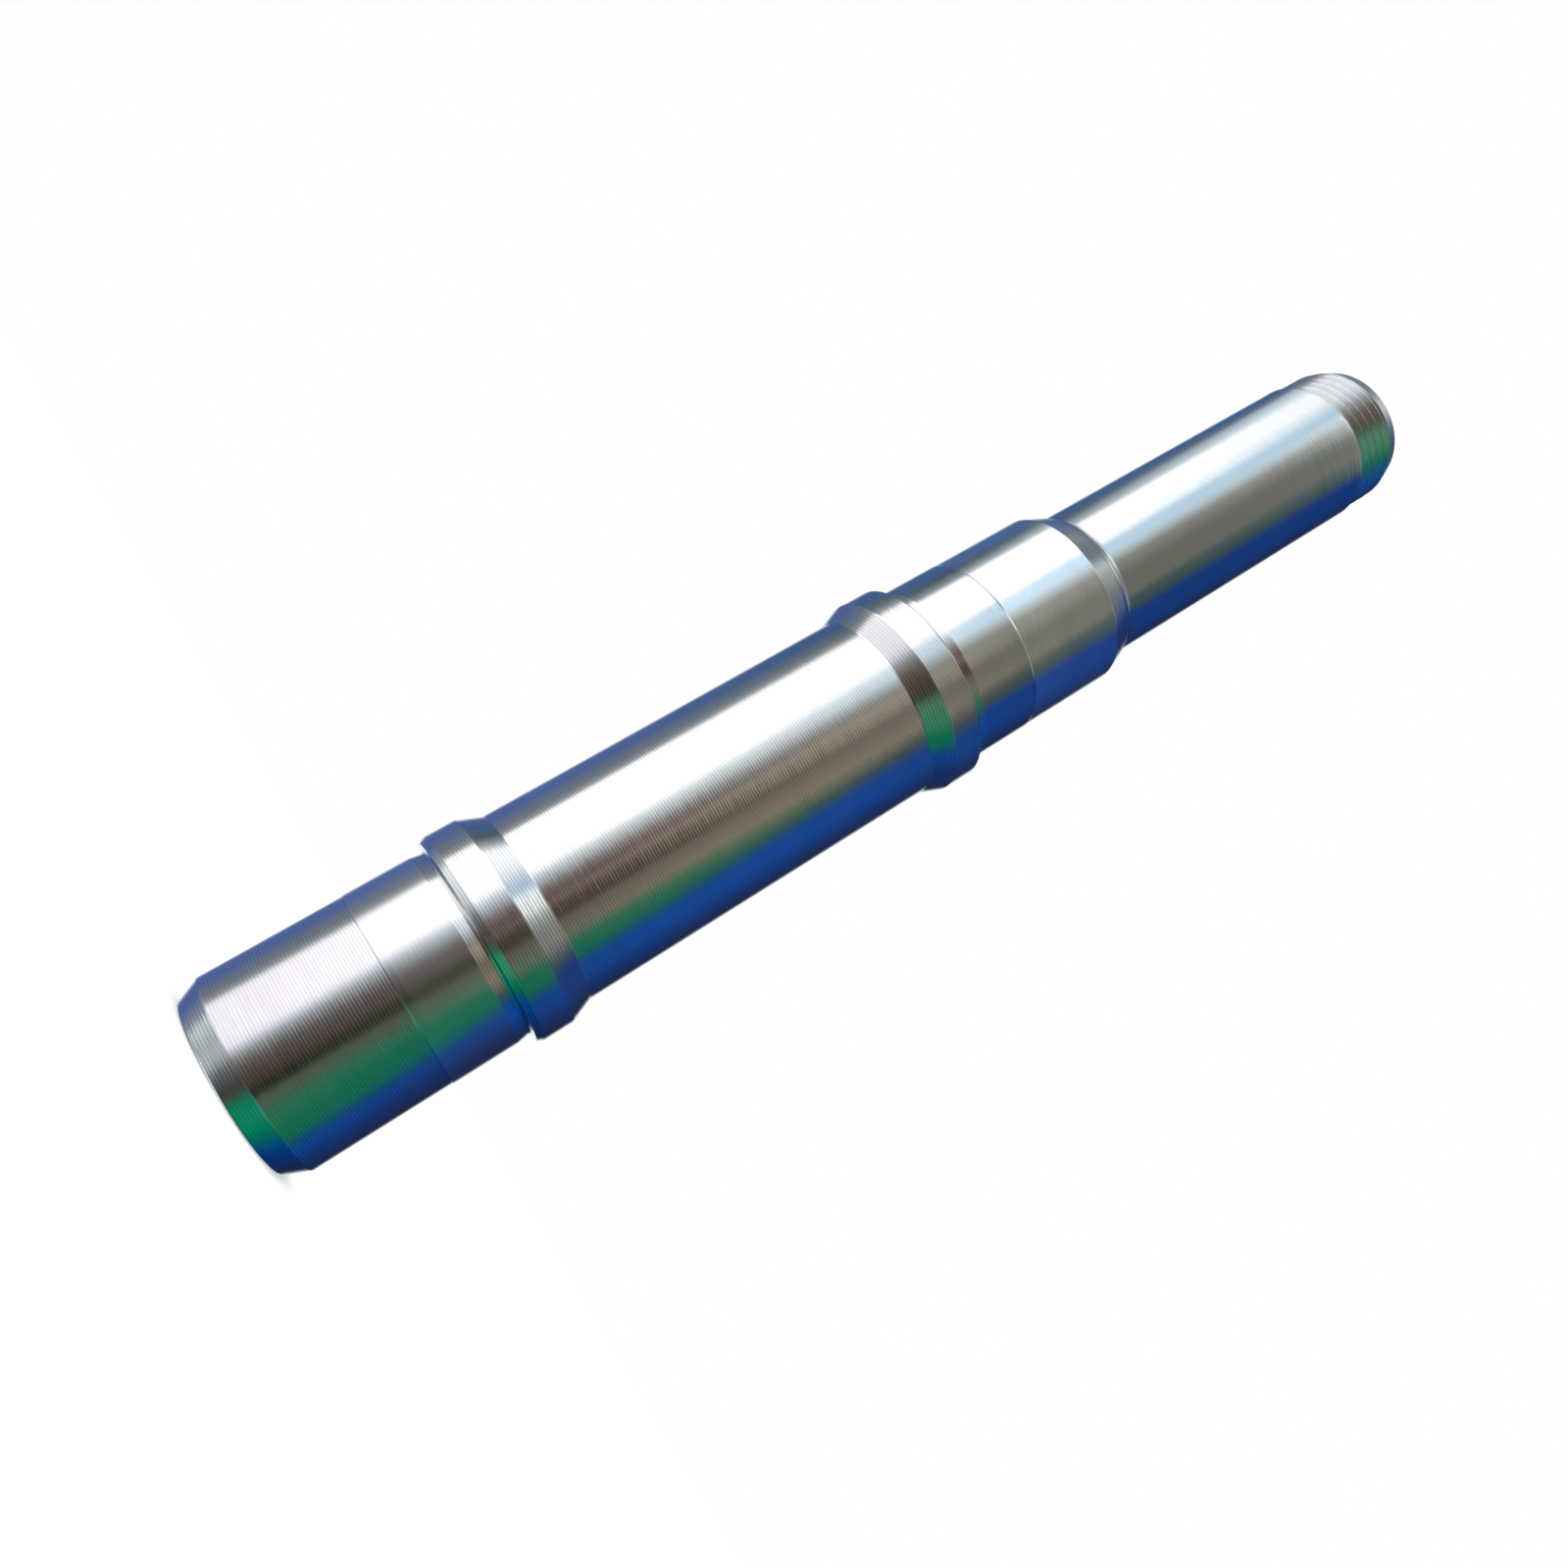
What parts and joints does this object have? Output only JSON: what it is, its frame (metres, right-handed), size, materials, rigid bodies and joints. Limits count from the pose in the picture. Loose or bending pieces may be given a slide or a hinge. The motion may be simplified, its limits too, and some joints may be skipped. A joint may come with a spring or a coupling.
{
  "type": "stepped shaft",
  "caption": "Turned steel shaft with two collars, ground bearing seats beside them, a long plain body between, and a thinner hub seat with a threaded end.",
  "frame": {"origin": "middle of the wide end's face, on which the shaft stands", "axes": "+Z along the shaft's axis, up towards the threaded end; X and Y are any two directions across it"},
  "size_m": [0.0188, 0.0188, 0.1229],
  "materials": {
    "bright_steel": "bright, turned with fine feed marks, and ground smooth on its seats"
  },
  "bodies": {
    "root": {"stepped_shaft": "bright_steel"}
  },
  "joints": []
}
